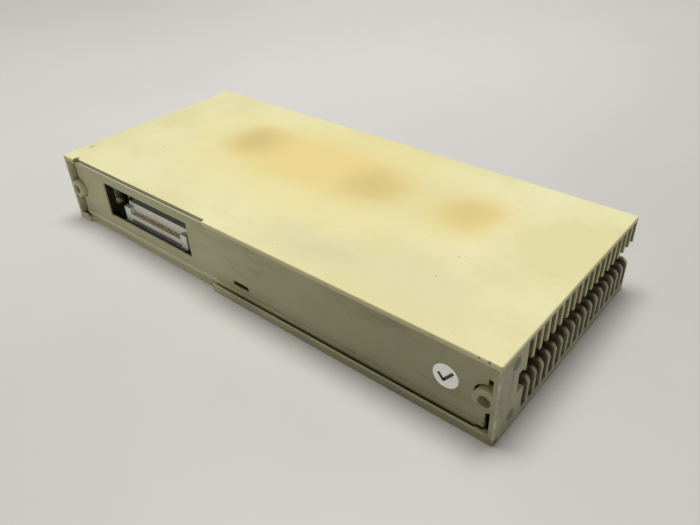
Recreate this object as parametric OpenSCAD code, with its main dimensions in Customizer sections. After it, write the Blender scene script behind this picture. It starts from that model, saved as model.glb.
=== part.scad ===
// Rack module of a programmable controller, lying on its side.
// X runs along the long side, Y from the backplane face (-Y) to the terminal face (+Y), Z up.
// Millimetres. The origin is at the centre of the footprint, on the rest plane.

/* [Case] */
// Length over both ventilated ends
case_len = 250; // [240:0.5:262]
// Depth from backplane face to terminal face
case_deep = 110.5; // [106:0.5:125]
// Thickness of the module in the rack
case_high = 36; // [34:0.5:40]
// Floor of the lower shell
floor_t = 2; // [1.5:0.1:2.2]
// Plate of the upper shell
lid_t = 2; // [1.5:0.1:2.5]
// Wall of the two end posts
post_t = 2.3; // [1.8:0.1:2.8]
// Depth of the solid end posts before the first slot
post_deep = 18; // [16:0.5:22]
// Length of rear edge cut back beside the connector, from its start to its end
notch_len = 99.4; // [90:0.2:110]
// Where that cut starts from the end of the case
notch_start = 9.6; // [8:0.2:12]
// Depth of that cut
notch_deep = 1.9; // [1.2:0.1:2]
// Corner radius at the start of that cut
notch_r = 1; // [0.3:0.1:1.2]
// Radius of the upright corners
corner_r = 1; // [0.4:0.1:1.5]
// Radius of the edges of the upper plate
edge_r = 0.6; // [0.3:0.1:0.8]
// Thickness of the lip along the rear of the floor
lip_t = 1; // [0.8:0.1:1.2]
// Height of that lip above the rest plane
lip_high = 3.4; // [2.6:0.1:4]
// Length of solid floor at the end of the groove behind the lip
groove_stop = 8; // [6:0.5:12]

/* [End Slots] */
// Number of slots at each end
slot_count = 18; // [8:1:22]
// Thickness of the fins between the slots
fin_t = 1.6; // [1.2:0.1:2]
// Depth of the fins into the case
fin_deep = 11; // [8:0.5:12]
// Height of the lower fins above the rest plane
low_fin_top = 15; // [12:0.5:17]
// Radius of their outer top corner
low_fin_r = 3; // [1:0.5:4]
// Height of the lower ends of the upper fins
high_fin_low = 24.2; // [22:0.2:27]
// Height of the band under the lower slots
band_high = 3.4; // [2.6:0.2:5]
// Thickness of that band
band_t = 2.1; // [1.6:0.1:3]

/* [Mounting Bosses] */
// Distance from the end of the case to the boss axis
boss_in = 5; // [4.8:0.1:6]
// Height of the boss axis
boss_z = 18.1; // [16:0.1:20]
// Outer radius of the boss
boss_r = 4.5; // [4:0.1:5]
// Radius of the screw hole through the boss
boss_hole_r = 2.45; // [2.1:0.05:2.9]
// Length of the boss
boss_long = 13; // [10:0.5:15]
// Ejector mark radius on the posts
mark_r = 2.75; // [2:0.05:3]
// Ejector mark depth
mark_deep = 0.25; // [0.1:0.05:0.5]

/* [Rear Panel] */
// Thickness of the rear panel
panel_t = 1.8; // [1.4:0.1:2.4]
// Set back of the rear panel from the rear plane
panel_in = 2.5; // [2.2:0.1:4]
// Gap from the end of the case to the panel's edge
panel_side = 5.3; // [5:0.1:7]
// Height of the floor's upstand under the panel
upstand_high = 5.6; // [4.5:0.1:6.5]
// How far the upstand stands out from the panel's face
upstand_out = 0.3; // [0:0.05:0.5]
// Gap round the bosses
boss_gap = 0.75; // [0.4:0.05:1.2]
// Start of the connector opening from the end of the case
open_x = 28.6; // [24:0.2:34]
// Length of the connector opening
open_len = 64.7; // [56:0.1:70]
// Lower edge of the connector opening
open_z = 9.8; // [9:0.1:11]
// Height of the connector opening
open_high = 18.4; // [16:0.1:19]
// Centre of the small slot from the end of the case
key_x = 125.9; // [115:0.5:140]
// Length of the small slot
key_len = 9.8; // [6:0.2:14]
// Height of the small slot
key_high = 2.4; // [1.6:0.1:3]
// Height of its centre above the rest plane
key_z = 8.6; // [8:0.1:12]
// Height of the tab's lower edge at the far end of the panel
tab_z = 26; // [24:0.5:29]
// Centre of the round label from the end of the case
label_x = 229; // [200:0.5:232]
// Height of its centre
label_z = 18; // [14:0.5:22]
// Radius of the round label
label_r = 5.1; // [3:0.1:6]
// Thickness of the round label
label_t = 0.2; // [0.1:0.05:0.3]
// Radial gap round the label in its shallow recess
label_gap = 0.9; // [0.3:0.1:2]

/* [Main Board] */
// Board thickness
board_t = 1.6; // [1:0.1:2]
// Height of the board's upper face
board_top = 8.3; // [7.6:0.1:9]
// Start of the board from each end of the case
board_in = 20; // [19.8:0.2:24]
// Rear edge of the board
board_rear = 5.2; // [4.8:0.1:7]
// Front edge of the board
board_front = 86; // [80:0.5:88]
// Standoff radius
standoff_r = 3; // [2.5:0.1:4]
// Board screw shank radius
board_screw_r = 1.2; // [1:0.1:1.5]

/* [Backplane Connector] */
// Contacts in one row
pin_count = 15; // [8:1:16]
// Contact pitch
pin_pitch = 2.54; // [2:0.01:2.54]
// Start of the connector from the end of the case
conn_x = 37.5; // [34:0.1:40]
// Length of the connector
conn_len = 48.6; // [46:0.1:52]
// Front of the tongue and the side walls behind the rear plane
conn_y = 6; // [5.8:0.1:8]
// Depth of the connector
conn_deep = 14; // [12:0.5:18]
// Height of the connector body over the board
conn_high = 10; // [9.5:0.1:11]
// Height of the side walls beside the tongue
conn_side_high = 8.2; // [7:0.1:9]
// Depth of the tongue in front of the connector body
tongue_out = 2.7; // [2:0.1:4]
// Height of the tongue's contact face over the board
tongue_top = 5.1; // [4.8:0.1:6]
// Thickness of the tongue
tongue_t = 2.8; // [2:0.1:3]
// Wall under the tongue
conn_wall = 1; // [0.8:0.1:1.2]
// How far that wall stands in front of the tongue
conn_lip = 0.7; // [0.2:0.1:0.8]

/* [Terminal Side] */
// Number of terminals
term_count = 20; // [10:1:20]
// Terminal pitch
term_pitch = 7.62; // [7:0.01:7.62]
// Depth of the terminal bezel
bezel_deep = 18.5; // [17:0.5:20]
// Wall of the bezel
bezel_t = 1.9; // [1.5:0.1:2.2]
// Length of the indicator field of the bezel
lamp_len = 48; // [40:0.5:49]
// Gap round the terminal block in its recess
block_gap = 0.5; // [0.4:0.05:0.8]
// Hinge pin radius of the terminal cover
pin_r = 1; // [0.8:0.05:1.2]
// Radial clearance of the hinge pins and the block screws
run_gap = 0.05; // [0.02:0.01:0.1]
// Thickness of the terminal cover
cover_t = 1.4; // [1.2:0.1:1.8]
// Height of the hinge axis
hinge_z = 4.5; // [4.4:0.05:5]
// Shank radius of the block screws
jack_r = 1.45; // [1.2:0.05:1.6]

/* [Electronics] */
// Length of one heat sink
sink_len = 32; // [24:1:40]
// Height of one heat sink
sink_high = 20; // [14:0.5:22]
// Fins on one heat sink
sink_fins = 7; // [4:1:10]
// Radius of the big capacitors
can_r = 6.3; // [5:0.1:8]
// Height of the big capacitors
can_high = 18; // [12:0.5:22]
// Number of optocouplers
opto_count = 8; // [4:1:8]
// Number of indicator lamps in one row
lamp_count = 8; // [4:1:8]

/* [Hidden] */
$fn = 64;
e = 0.02;
lid_z = case_high - lid_t;
slot_pitch = (case_deep - post_deep) / slot_count;
slot_w = slot_pitch - fin_t;
panel_back = panel_in + panel_t;
panel_low = upstand_high + 0.12;
panel_seat = 0.5;
// where the straight part of the small slot ends
key_end = key_x + key_len / 2 - key_high / 2;
board_z = board_top - board_t;
// window, step and web of an end post, and its moulding marks
post_window = [14.2, 23.6];
post_step = [21.8, 24];
post_step_deep = 0.9;
post_web_t = 1.6;
post_web_deep = 4;
mark_y = 10.5;
mark_z = [6.4, 30];
// screw posts that join the two shells
post_x = 15.6;
post_y = [26, 82];
post_r = 3.4;
post_low = 8.1;
screw_r = 1.45;
screw_head_r = 2.8;
screw_head_t = 2;
screw_long = 17;
counterbore_deep = 2.6;
cross_w = 0.6;
cross_deep = 1;
// ribs and rails inside the shells
inner_rib_x = [50, 100, 150, 200];
inner_rib_t = 1.2;
rail_t = 1.5;
rail_in = 30;
rail_gap = 1.7;
// drain slots in the floor
drain_count = 6;
drain_x = 60;
drain_pitch = 26;
drain_w = 2.4;
drain_y = [40, 64];
// marks left on the rear edge of the upper shell where it was filled
gate_x = [178.6, 224.4];
gate_w = 0.5;
gate_deep = 0.35;
board_holes = [[26, 24], [26, 80], [120, 20], [120, 80], [224, 24], [224, 80]];
bezel_x0 = post_x - 3;
bezel_x1 = case_len - bezel_x0;
bezel_y = case_deep - bezel_deep;
bezel_z0 = floor_t + 0.1;
bezel_z1 = lid_z - 0.1;
bay_x0 = bezel_x0 + lamp_len;
bay_x1 = bezel_x1 - bezel_t;
bay_z0 = bezel_z0 + bezel_t;
bay_z1 = bezel_z1 - bezel_t;
bay_y = bezel_y + bezel_t;
block_x0 = bay_x0 + block_gap;
block_x1 = bay_x1 - block_gap;
block_y0 = bay_y + block_gap;
block_z0 = bay_z0 + block_gap;
block_z1 = bay_z1 - block_gap;
block_mid = (block_x0 + block_x1) / 2;
term_z = (block_z0 + block_z1) / 2;
seat_y = case_deep - 7;
wall_y = case_deep - 2.6;
hinge_y = case_deep - 1.6;
ear_t = 2;
knuckle_r = 1.6;
jack_x = [block_x0 + ear_t + 3.6, block_x1 - ear_t - 3.6];
jack_head_r = 2.6;
jack_seat = case_deep - 6;
nut_y = bay_y - 0.4;
// window field of the bezel
lamp_field = [bezel_x0 + 8, bay_x0 - 6];
lamp_r = 1.5;
lamp_rows = [14, 22];
lamp_low = case_deep - 7.8;
lamp_tip = case_deep - 4.6;
sink_at = [[68, 66], [148, 67], [196, 71]];
sink_t = 2.2;
sink_fin_long = 10;
sink_fin_t = 1.4;
sink_hole_r = 1.5;
sink_hole_low = 6;
// two transistors on each heat sink
to_x = [-8, 8];
to_half = 5;
to_deep = 4.4;
to_tab_t = 1.3;
to_low = 3;
leg_pitch = 2.54;
// chips stand this far over the board
chip_lift = 0.6;
opto_x = 132;
opto_y = 44;
opto_pitch = 11;
driver_x = 138;
driver_y = 28;
driver_pitch = 22;
driver_count = 4;
bus_at = [56, 32];
can_x = [88, 102, 116];
can_y = 30;
film_count = 8;
film_x = 36;
film_y = 50;
film_pitch = 8;
fuse_at = [188, 16.5];
fuse_lift = 4.6;
fuse_r = 2.3;

// connector
conn_mid = conn_x + conn_len / 2;
conn_z = board_top;
conn_back = conn_y + conn_deep;
body_y = conn_y + tongue_out;
tongue_x0 = conn_mid - pin_count * pin_pitch / 2 - 0.6;
tongue_x1 = conn_mid + pin_count * pin_pitch / 2 + 0.6;
tongue_z0 = conn_z + tongue_top - tongue_t;
tongue_z1 = conn_z + tongue_top;
contact_w = 1.1;
contact_t = 0.5;
contact_sunk = 0.3;
// the lower row lies under the tongue and the upper row on it
contact_z = [tongue_z0 - contact_t + contact_sunk, tongue_z1 - contact_sunk];

module shift() translate([-case_len / 2, -case_deep / 2, 0]) children();
module both_ends() {
  children();
  translate([case_len, 0, 0]) mirror([1, 0, 0]) children();
}
module along_y(r, y0, y1) translate([0, y0, 0]) rotate([-90, 0, 0]) cylinder(r = r, h = y1 - y0);
module along_x(r, x0, x1) translate([x0, 0, 0]) rotate([0, 90, 0]) cylinder(r = r, h = x1 - x0);
module box(a, b) translate(a) cube(b - a);
// takes the outside of a rounded edge away: the edge runs along z from z0 to z1 at the corner [0, 0]
module edge_cut(r, z0, z1) difference() {
  box([-1, -1, z0], [r, r, z1]);
  translate([r, r, z0 - 1]) cylinder(r = r, h = z1 - z0 + 2);
}
module corner_cuts() both_ends() {
  edge_cut(corner_r, -1, case_high + 1);
  translate([0, case_deep, 0]) mirror([0, 1, 0]) edge_cut(corner_r, -1, case_high + 1);
}
module plate_edge_cuts() {
  both_ends() translate([0, 0, case_high]) rotate([-90, 0, 0]) edge_cut(edge_r, -1, case_deep + 1);
  translate([0, 0, case_high]) rotate([0, 90, 0]) edge_cut(edge_r, -1, case_len + 1);
  translate([0, case_deep, case_high]) mirror([0, 1, 0]) rotate([0, 90, 0])
    edge_cut(edge_r, -1, case_len + 1);
}
// plate from z0 to z1 with the rear edge cut back beside the connector
module notched(z0, z1) difference() {
  box([0, 0, z0], [case_len, case_deep, z1]);
  difference() {
    box([notch_start, -1, z0 - 1], [notch_start + notch_len, notch_deep, z1 + 1]);
    difference() {
      box([notch_start - 1, notch_deep - notch_r, z0 - 2], [notch_start + notch_r, notch_deep + 1, z1 + 2]);
      translate([notch_start + notch_r, notch_deep - notch_r, z0 - 3]) cylinder(r = notch_r, h = z1 - z0 + 6);
    }
  }
}

// ---------- case ----------
module low_fin(y) {
  box([low_fin_r, y, 0.5], [fin_deep, y + fin_t, low_fin_top]);
  box([0, y, 0.5], [low_fin_r + e, y + fin_t, low_fin_top - low_fin_r]);
  translate([low_fin_r, 0, low_fin_top - low_fin_r]) along_y(low_fin_r, y, y + fin_t);
}
module end_post() {
  difference() {
    box([0, 0, 0.5], [post_t, post_deep, lid_z]);
    box([-1, boss_long, post_window[0]], [post_t + 1, post_deep + 1, post_window[1]]);
    for (z = mark_z) translate([0, mark_y, z]) along_x(mark_r, -1, mark_deep);
  }
  box([0, post_deep - post_step_deep, post_step[0]], [post_t, post_deep, post_step[1]]);
  // the boss runs flush into the end wall where it would pass it
  intersection() {
    translate([boss_in, 0, boss_z]) along_y(boss_r, 0, boss_long);
    box([0, -1, 0], [case_len, boss_long + 1, case_high]);
  }
  box([boss_in - post_web_t / 2, boss_long - post_web_deep, 0.5],
      [boss_in + post_web_t / 2, boss_long, boss_z - boss_hole_r - 0.6]);
}
module lower_shell() color("#d9d2a4") shift() difference() {
  union() {
    notched(0, floor_t);
    box([notch_start + notch_len, 0, 0], [case_len, lip_t, lip_high]);
    box([case_len - groove_stop, 0, 0], [case_len, panel_in + 0.2, lip_high]);
    box([0, 0, 0], [notch_start - 2, lip_t, lip_high]);
    box([panel_side, panel_in - upstand_out, 0], [case_len - panel_side, panel_back, upstand_high]);
    both_ends() {
      end_post();
      box([0, post_deep - e, 0], [band_t, case_deep, band_high]);
      for (i = [0 : slot_count - 1]) low_fin(post_deep + slot_w + i * slot_pitch);
      for (y = post_y) translate([post_x, y, 0]) cylinder(r = post_r + 0.4, h = post_low);
    }
    for (h = board_holes) translate([h[0], h[1], 0]) cylinder(r = standoff_r, h = board_z);
    // rails that carry the front bezel
    for (y = [bezel_y - rail_gap, bezel_y + 2 * rail_t])
      box([rail_in, y, 1], [case_len - rail_in, y + rail_t, floor_t + 0.1]);
  }
  both_ends() {
    translate([boss_in, 0, boss_z]) along_y(boss_hole_r, -1, boss_long + 1);
    for (y = post_y) translate([post_x, y, -1]) {
      cylinder(r = screw_head_r + 0.3, h = 1 + counterbore_deep);
      cylinder(r = screw_r + 0.2, h = post_low + 2);
    }
  }
  for (h = board_holes) translate([h[0], h[1], floor_t + 0.3])
    cylinder(r = board_screw_r + 0.02, h = board_top);
  // undercut at the end of the groove
  box([case_len - groove_stop, panel_in - 0.9, floor_t + 0.1],
      [case_len - panel_side + 0.2, panel_in + 0.9, lip_high + 0.6]);
  corner_cuts();
  for (i = [0 : drain_count - 1]) translate([drain_x + i * drain_pitch, 0, 0])
    box([0, drain_y[0], -1], [drain_w, drain_y[1], floor_t + 1]);
}
module upper_shell() color("#e6dfae") shift() difference() {
  union() {
    notched(lid_z, case_high);
    both_ends() {
      for (i = [0 : slot_count - 1])
        translate([0, post_deep + slot_w + i * slot_pitch, high_fin_low])
          cube([fin_deep, fin_t, lid_z - high_fin_low + 0.5]);
      for (y = post_y) translate([post_x, y, post_low + 0.05])
        cylinder(r = post_r, h = lid_z - post_low);
    }
    // rib behind the rear panel and ribs that hold the bezel
    box([14, panel_back + 0.1, lid_z - 2.6], [case_len - 14, panel_back + 0.1 + inner_rib_t, lid_z + 0.5]);
    box([20, bezel_y - rail_gap, lid_z - 3], [case_len - 20, bezel_y - rail_gap + rail_t, lid_z + 0.5]);
    for (x = inner_rib_x) box([x, 24, lid_z - 1], [x + inner_rib_t, bezel_y - 3, lid_z + 0.5]);
  }
  // seat of the rear panel
  box([panel_side - 0.1, panel_in - 0.1, lid_z - 1],
      [case_len - post_t + 0.1, panel_back + 0.1, lid_z + panel_seat + 0.05]);
  both_ends() for (y = post_y) translate([post_x, y, post_low - 1])
    cylinder(r = screw_r + 0.02, h = 12);
  corner_cuts();
  plate_edge_cuts();
  for (x = gate_x) box([x, -1, lid_z - 1], [x + gate_w, gate_deep, case_high - edge_r]);
}
module rear_panel() color("#ddd6a8") shift() difference() {
  union() {
    box([panel_side, panel_in, panel_low], [case_len - panel_side, panel_back, lid_z + panel_seat]);
    box([case_len - panel_side - 1, panel_in, tab_z],
        [case_len - post_t - 0.12, panel_back, lid_z + panel_seat]);
    // tongue behind the upstand
    box([12, panel_back + 0.08, upstand_high - 2], [case_len - 30, panel_back + 1.1, panel_low + 2]);
    box([12, panel_back - 0.5, panel_low], [case_len - 30, panel_back + 1.1, panel_low + 1.6]);
    // frame round the opening
    for (x = [open_x - 1.8, open_x + open_len + 0.3])
      box([x, panel_back - 0.5, open_z - 0.4], [x + 1.5, panel_back + 3, open_z + open_high]);
  }
  box([open_x, -1, open_z], [open_x + open_len, panel_back + 9, open_z + open_high]);
  both_ends() translate([boss_in, 0, boss_z]) along_y(boss_r + boss_gap, -1, panel_back + 2);
  translate([0, 0, key_z]) {
    box([key_x - key_len / 2, -1, -key_high / 2], [key_end, panel_back + 3, key_high / 2]);
    translate([key_end, 0, 0]) along_y(key_high / 2, -1, panel_back + 3);
  }
  translate([label_x + 0.4, 0, label_z - 0.4]) along_y(label_r + label_gap, -1, panel_in + 0.12);
}
module round_label() color("#f4f2e6") shift()
  translate([label_x, 0, label_z]) along_y(label_r, panel_in + 0.12 - label_t, panel_in + 0.12);
module case_screws() color("#9a9a96") shift() both_ends() for (y = post_y) translate([post_x, y, 0]) {
  difference() {
    translate([0, 0, counterbore_deep - screw_head_t]) cylinder(r = screw_head_r, h = screw_head_t);
    for (a = [0, 90]) rotate([0, 0, a]) cube([3.2, cross_w, 3.2], center = true);
  }
  translate([0, 0, counterbore_deep - 0.1]) cylinder(r = screw_r, h = screw_long - 2);
}

// ---------- boards ----------
module main_board() color("#5d7d3f") shift() difference() {
  box([board_in, board_rear + 1.2, board_z], [case_len - board_in, board_front, board_top]);
  for (h = board_holes) translate([h[0], h[1], 0]) cylinder(r = board_screw_r + 0.3, h = 20);
}
module board_screws() color("#b5b6b4") shift() for (h = board_holes) translate([h[0], h[1], 0]) {
  translate([0, 0, floor_t + 0.6]) cylinder(r = board_screw_r, h = board_top - floor_t - 0.5);
  difference() {
    translate([0, 0, board_top]) cylinder(r = 2.5, h = 1.7);
    for (a = [0, 90]) rotate([0, 0, a]) translate([-1.4, -cross_w / 2, board_top + 0.9])
      cube([2.8, cross_w, cross_deep]);
  }
}
module at_contacts(row) for (i = [0 : pin_count - 1])
  translate([conn_mid + (i - (pin_count - 1) / 2) * pin_pitch, 0, contact_z[row]]) children();
module backplane_connector() color("#dcdcd4") shift() difference() {
  union() {
    box([conn_x + 0.7, body_y, conn_z], [conn_x + conn_len - 0.7, conn_back, conn_z + conn_high]);
    box([conn_x, conn_y, conn_z], [tongue_x0, body_y + 1, conn_z + conn_side_high]);
    box([tongue_x1, conn_y, conn_z], [conn_x + conn_len, body_y + 1, conn_z + conn_side_high]);
    box([conn_x, conn_y - conn_lip, conn_z], [conn_x + conn_len, body_y + 1, conn_z + conn_wall]);
    box([tongue_x0 - 1, conn_y, tongue_z0], [tongue_x1 + 1, body_y + 1, tongue_z1]);
    for (x = [conn_x - 2.5, conn_x + conn_len - 0.7 - e])
      box([x, conn_y + 4, conn_z], [x + 3.2 + e, conn_back - 3, conn_z + 3]);
  }
  // the gap under the tongue runs on into the body
  box([tongue_x0 + 0.3, body_y - 1, conn_z + conn_wall], [tongue_x1 - 0.3, body_y + 4, tongue_z0]);
  for (row = [0, 1]) at_contacts(row)
    box([-contact_w / 2 - 0.04, conn_y + 0.4, -0.04],
        [contact_w / 2 + 0.04, conn_back + 1, contact_t + 0.04]);
  // rear pocket for the contact tails
  box([conn_x + 3, conn_back - 2.3, conn_z - 1],
      [conn_x + conn_len - 3, conn_back + 1, conn_z + conn_high - 1.2]);
}
module connector_contacts() color("#b8903c") shift() for (row = [0, 1]) at_contacts(row) {
  back = conn_back - 1.6 + row * 1.1;
  box([-contact_w / 2, conn_y + 0.45, 0], [contact_w / 2, back, contact_t]);
  box([-contact_w / 2, back - contact_t, board_top - contact_z[row]], [contact_w / 2, back, contact_t]);
}

// ---------- power section ----------
module at_sinks() for (p = sink_at) translate([p[0], p[1], board_top]) children();
module heat_sinks() color("#8d9092") shift() at_sinks() difference() {
  union() {
    box([-sink_len / 2, -sink_t, 0], [sink_len / 2, 0, sink_high]);
    for (i = [0 : sink_fins - 1])
      translate([-sink_len / 2 + i * (sink_len - sink_fin_t) / (sink_fins - 1), -e, 0])
        cube([sink_fin_t, sink_fin_long, sink_high]);
  }
  for (x = to_x) translate([x, 0, sink_high - sink_hole_low]) along_y(sink_hole_r, -sink_t - 1, e + 1);
}
module transistor_at() at_sinks() for (x = to_x) translate([x, -sink_t, 0]) children();
module power_transistors() color("#2b2b2b") shift() transistor_at() difference() {
  union() {
    box([-to_half, -to_deep, to_low], [to_half, 0, sink_high - 9]);
    box([-to_half, -to_tab_t, to_low], [to_half, 0, sink_high - 3]);
  }
  translate([0, 0, sink_high - sink_hole_low]) along_y(1.6, -6, 1);
}
module transistor_legs() color("#c0c0bc") shift() transistor_at() for (i = [-1 : 1])
  translate([i * leg_pitch, 0, 0]) box([-0.4, -2.6, 0], [0.4, -2, to_low]);
module transistor_screws() color("#a8a9a6") shift() transistor_at()
  translate([0, 0, sink_high - sink_hole_low]) {
    difference() {
      along_y(2.7, -3, -to_tab_t);
      box([-2, -3.1, -0.35], [2, -2.3, 0.35]);
    }
    along_y(1.4, -1.4, sink_t);
  }
module power_capacitors() color("#30343c") shift() for (x = can_x) translate([x, can_y, board_top]) {
  cylinder(r = can_r, h = can_high - 2.5);
  cylinder(r = can_r - 0.35, h = can_high - 1.5);
  translate([0, 0, can_high - 1.5 - e]) cylinder(r = can_r, h = 1.5);
}
module film_capacitors() color("#9a4a26") shift() for (i = [0 : film_count - 1])
  translate([film_x + i * film_pitch, film_y, board_top]) cube([5, 8, 9]);
module at_optos() for (i = [0 : opto_count - 1])
  translate([opto_x + i * opto_pitch, opto_y, board_top]) children();
module at_drivers() for (i = [0 : driver_count - 1])
  translate([driver_x + i * driver_pitch, driver_y, board_top]) children();
module optocouplers() color("#e6e4dc") shift() at_optos()
  translate([-3.2, -4.2, chip_lift]) cube([6.4, 8.4, 3.6]);
module driver_chips() color("#262626") shift() at_drivers()
  translate([0, 0, chip_lift]) difference() {
    translate([-9.5, -3.2, 0]) cube([19, 6.4, 3.4]);
    translate([-9.5, 0, 2.9]) cylinder(r = 1, h = 1);
  }
module at_bus() translate([bus_at[0], bus_at[1], board_top]) children();
module bus_chip() color("#2a2a2c") shift() at_bus() translate([0, 0, chip_lift]) difference() {
  translate([-19, -6.8, 0]) cube([38, 13.6, 3.8]);
  translate([-19, 0, 3.2]) cylinder(r = 1.6, h = 1);
}
module legs(n, pitch, half) for (i = [0 : n - 1]) for (s = [-1, 1])
  translate([(i - (n - 1) / 2) * pitch - 0.3, s * half - 0.15, 0]) cube([0.6, 0.3, 2.4]);
module chip_legs() color("#c4c4bf") shift() {
  at_optos() legs(2, leg_pitch, 4.35);
  at_drivers() legs(7, leg_pitch, 3.35);
  at_bus() legs(14, leg_pitch, 6.95);
}
module at_fuse(z) translate([fuse_at[0], fuse_at[1], board_top + z]) children();
module fuse_glass() color("#dfe6e6") shift() at_fuse(fuse_lift) difference() {
  along_x(fuse_r, -7.5, 7.5);
  along_x(fuse_r - 0.6, -8, 8);
}
module fuse_caps() color("#c9c9c4") shift() at_fuse(fuse_lift)
  for (s = [0, 1]) mirror([s, 0, 0]) difference() {
    along_x(fuse_r + 0.3, 5, 10);
    along_x(fuse_r + 0.02, 4, 9.4);
  }
module fuse_clips() color("#b9b4a4") shift() at_fuse(0) for (s = [0, 1]) mirror([s, 0, 0]) {
  box([6.2, -3.2, 0], [9, 3.2, 1]);
  for (y = [-3.2, 2.65]) box([6.2, y, 0], [9, y + 0.55, 6.2]);
}

// ---------- terminal side ----------
module at_terminals(z) for (i = [0 : term_count - 1])
  translate([block_mid + (i - (term_count - 1) / 2) * term_pitch, 0, z]) children();
module front_bezel() color("#dcd5a6") shift() difference() {
  box([bezel_x0, bezel_y, bezel_z0], [bezel_x1, case_deep, bezel_z1]);
  // room behind the indicator field, open to the board
  box([bezel_x0 + bezel_t, bezel_y - 1, bezel_z0 + bezel_t],
      [bay_x0 - bezel_t, case_deep - 2, bezel_z1 - bezel_t]);
  // bay for the terminal block
  box([bay_x0, bay_y, bay_z0], [bay_x1, case_deep + 1, bay_z1]);
  box([bay_x0, case_deep - 4.6, bezel_z0 - 1], [bay_x1, case_deep + 1, bay_z0 + 1]);
  // window seat
  box([lamp_field[0], case_deep - 3, 9], [lamp_field[1], case_deep + 1, 27]);
  box([lamp_field[0] - 1, case_deep - 0.9, 8], [lamp_field[1] + 1, case_deep + 1, 28]);
  // header pins and block nuts
  at_terminals(term_z)
    box([-0.7, bezel_y - 1, -0.7], [0.7, bay_y + 1, 0.7]);
  for (x = jack_x) translate([x, 0, term_z]) {
    along_y(3.2, nut_y - 2.4, bay_y + 1);
    along_y(1.9, bezel_y - 1, bay_y + 1);
  }
}
module block_nuts() color("#c2a24e") shift() for (x = jack_x) translate([x, 0, term_z]) difference() {
  along_y(3.18, bezel_y - 1 + 0.2, bay_y - 0.2);
  along_y(jack_r + 0.35, bezel_y - 3, bay_y + 1);
}
module indicator_board() color("#4f7a3c") shift()
  box([bezel_x0 + bezel_t + 0.3, case_deep - 9, bezel_z0 + bezel_t + 0.2],
      [bay_x0 - bezel_t - 0.3, lamp_low, bezel_z1 - bezel_t - 0.2]);
module indicator_lamps() color("#b43a2e") shift() for (i = [0 : lamp_count - 1]) for (z = lamp_rows)
  translate([lamp_field[0] + 4 + i * (lamp_field[1] - lamp_field[0] - 8) / (lamp_count - 1), 0, z]) {
    along_y(lamp_r, lamp_low, lamp_tip);
    translate([0, lamp_tip, 0]) sphere(r = lamp_r);
  }
module indicator_window() color([0.75, 0.8, 0.78, 0.5]) shift()
  box([lamp_field[0] - 0.9, case_deep - 0.9, 8.1], [lamp_field[1] + 0.9, case_deep - 0.1, 27.9]);
module terminal_header() color("#33352f") shift() difference() {
  box([block_mid - term_count * term_pitch / 2, bezel_y - 6.2, board_top],
      [block_mid + term_count * term_pitch / 2, bezel_y - 0.1, term_z + 3]);
  at_terminals(0) {
    box([-0.55, bezel_y - 3.6, term_z - 0.55], [0.55, bezel_y + 1, term_z + 0.55]);
    box([-0.55, bezel_y - 4.1, board_top - 1], [0.55, bezel_y - 2.9, term_z + 0.55]);
  }
}
module header_pins() color("#c0a04c") shift() at_terminals(0) {
  box([-0.5, bezel_y - 3.5, term_z - 0.5], [0.5, bay_y + 5, term_z + 0.5]);
  box([-0.5, bezel_y - 4, board_top], [0.5, bezel_y - 3, term_z + 0.5]);
}
module terminal_block() color("#2e3030") shift() difference() {
  union() {
    box([block_x0, block_y0, block_z0], [block_x1, seat_y, block_z1]);
    // barriers between terminals
    for (i = [0 : term_count]) translate([block_mid + (i - term_count / 2) * term_pitch - 0.6, 0, 0])
      box([0, seat_y - 1, block_z0 + 2.4], [1.2, wall_y - 0.4, block_z1 - 1.6]);
    // back wall of the terminal rows and hinge ears
    box([block_x0, seat_y - 1, block_z1 - 1.6], [block_x1, wall_y, block_z1]);
    for (x = [block_x0, block_x1 - ear_t]) {
      box([x, seat_y - 1, hinge_z - 0.1], [x + ear_t, case_deep - 0.1, 13]);
      translate([0, hinge_y, hinge_z]) along_x(knuckle_r, x, x + ear_t);
    }
  }
  // room for the cover's knuckle
  box([block_x0 + ear_t, case_deep - 4.6, block_z0 - 1],
      [block_x1 - ear_t, case_deep + 1, hinge_z + 2.2]);
  box([block_x0 - 1, case_deep - 4.6, block_z0 - 2], [block_x0, case_deep + 1, hinge_z]);
  translate([0, hinge_y, hinge_z]) along_x(pin_r + run_gap, block_x0 - 1, block_x1 + 1);
  at_terminals(term_z) {
    box([-0.9, block_y0 - 1, -0.9], [0.9, bay_y + 6, 0.9]);
    box([-2.9, seat_y - 1, -8.5], [2.9, seat_y + 1, 6.5]);
    along_y(1.9, bay_y + 5, seat_y);
  }
  for (x = jack_x) translate([x, 0, term_z]) {
    along_y(jack_r + run_gap, block_y0 - 1, case_deep);
    along_y(jack_head_r + 0.3, jack_seat, case_deep);
  }
}
module terminal_plates() color("#c8c3ae") shift() at_terminals(term_z) difference() {
  box([-2.88, seat_y - 1, -8.4], [2.88, seat_y, 6.4]);
  along_y(1.55, seat_y - 3, seat_y + 2);
}
module terminal_screws() color("#b8b9b4") shift() at_terminals(term_z) {
  difference() {
    along_y(2.7, seat_y, seat_y + 2.2);
    for (a = [0, 90]) rotate([0, a, 0]) box([-1.8, seat_y + 1.2, -0.35], [1.8, seat_y + 3, 0.35]);
  }
  along_y(1.5, bay_y + 7, seat_y + 0.1);
}
module terminal_cover() color("#e3dcae") shift() {
  cx0 = block_x0 + ear_t + 0.3;
  cx1 = block_x1 - ear_t - 0.3;
  translate([0, hinge_y, hinge_z]) {
    along_x(knuckle_r, cx0, cx1);
    along_x(pin_r, cx0 - ear_t + 0.2, cx1 + ear_t - 0.2);
  }
  box([cx0, hinge_y + knuckle_r - cover_t, hinge_z], [cx1, hinge_y + knuckle_r, 30.6]);
  box([cx0, wall_y + 0.4, 29.6], [cx1, case_deep - cover_t + 0.4, 30.6]);
}
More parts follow.
